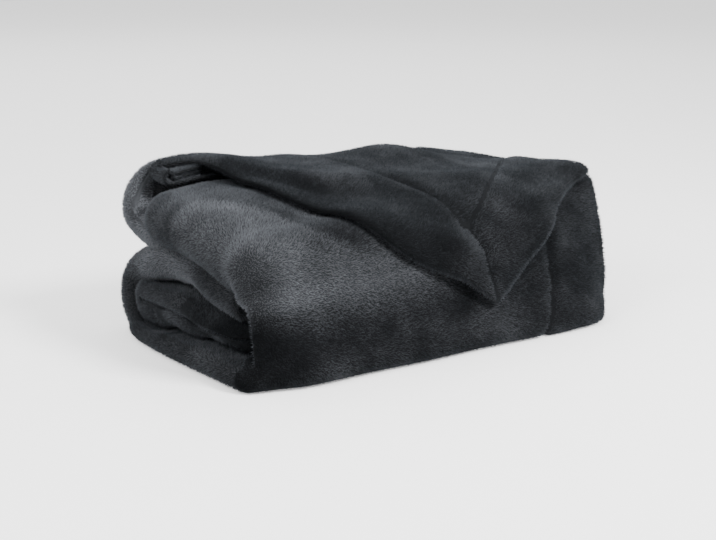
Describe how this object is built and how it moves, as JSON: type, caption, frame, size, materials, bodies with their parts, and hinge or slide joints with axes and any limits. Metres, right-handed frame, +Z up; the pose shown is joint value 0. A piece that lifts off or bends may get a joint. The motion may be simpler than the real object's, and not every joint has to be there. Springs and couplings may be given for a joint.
{
  "type": "folded throw blanket",
  "caption": "Plush microfibre throw folded into a soft layered stack, with a hemmed corner hanging over its front.",
  "frame": {"origin": "middle of the folded throw, on the surface that it lies on", "axes": "+X along the long front side, from the folded end to the hemmed end; +Y from the front to the back; +Z up"},
  "size_m": [0.3268, 0.2008, 0.1224],
  "materials": {
    "plush": "dark charcoal brushed microfibre plush with a short soft pile"
  },
  "bodies": {
    "root": {"throw_panel": "plush"}
  },
  "joints": []
}
